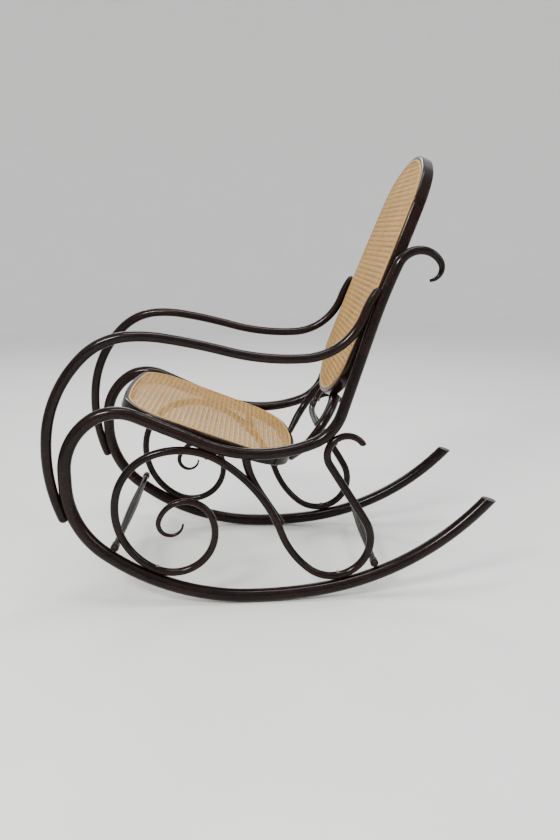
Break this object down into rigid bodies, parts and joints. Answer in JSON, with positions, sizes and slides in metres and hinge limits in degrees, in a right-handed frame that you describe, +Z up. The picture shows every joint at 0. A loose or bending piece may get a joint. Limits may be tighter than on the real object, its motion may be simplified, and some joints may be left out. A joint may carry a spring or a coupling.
{
  "type": "rocking chair",
  "caption": "Bentwood rocking chair with woven cane seat and back, looped armrests, curled side scrolls and long curved runners.",
  "frame": {"origin": "on the floor, midway between the runners and under the middle of the overall length", "axes": "+Z up, the chair faces -X, +Y towards the sitter's right"},
  "size_m": [1.067, 0.574, 1.0511],
  "materials": {
    "left_side_frame": "dark brown lacquered beech, glossy",
    "right_side_frame": "dark brown lacquered beech, glossy",
    "left_armrest": "dark brown lacquered beech, glossy",
    "right_armrest": "dark brown lacquered beech, glossy",
    "left_base_scroll": "dark brown lacquered beech, glossy",
    "right_base_scroll": "dark brown lacquered beech, glossy",
    "left_seat_brace": "dark brown lacquered beech, glossy",
    "right_seat_brace": "dark brown lacquered beech, glossy",
    "seat_frame": "dark brown lacquered beech, glossy",
    "seat_cane": "natural rattan cane, satin",
    "seat_cane_binder": "natural rattan cane, satin",
    "back_frame": "dark brown lacquered beech, glossy",
    "back_cane": "natural rattan cane, satin",
    "back_cane_binder": "natural rattan cane, satin",
    "left_back_leg": "dark brown lacquered beech, glossy",
    "right_back_leg": "dark brown lacquered beech, glossy",
    "back_hoop": "dark brown lacquered beech, glossy",
    "front_stretcher": "dark brown lacquered beech, glossy",
    "rear_stretcher": "dark brown lacquered beech, glossy",
    "arm_screws": "aged steel, dull sheen",
    "scroll_screws": "aged steel, dull sheen",
    "brace_screws": "aged steel, dull sheen",
    "stretcher_screws": "aged steel, dull sheen",
    "seat_bolts": "aged steel, dull sheen",
    "back_bolts": "aged steel, dull sheen"
  },
  "bodies": {
    "root": {"left_side_frame": "left_side_frame", "right_side_frame": "right_side_frame", "left_armrest": "left_armrest", "right_armrest": "right_armrest", "left_base_scroll": "left_base_scroll", "right_base_scroll": "right_base_scroll", "left_seat_brace": "left_seat_brace", "right_seat_brace": "right_seat_brace", "seat_frame": "seat_frame", "seat_cane": "seat_cane", "seat_cane_binder": "seat_cane_binder", "back_frame": "back_frame", "back_cane": "back_cane", "back_cane_binder": "back_cane_binder", "left_back_leg": "left_back_leg", "right_back_leg": "right_back_leg", "back_hoop": "back_hoop", "front_stretcher": "front_stretcher", "rear_stretcher": "rear_stretcher", "arm_screws": "arm_screws", "scroll_screws": "scroll_screws", "brace_screws": "brace_screws", "stretcher_screws": "stretcher_screws", "seat_bolts": "seat_bolts", "back_bolts": "back_bolts"}
  },
  "joints": []
}
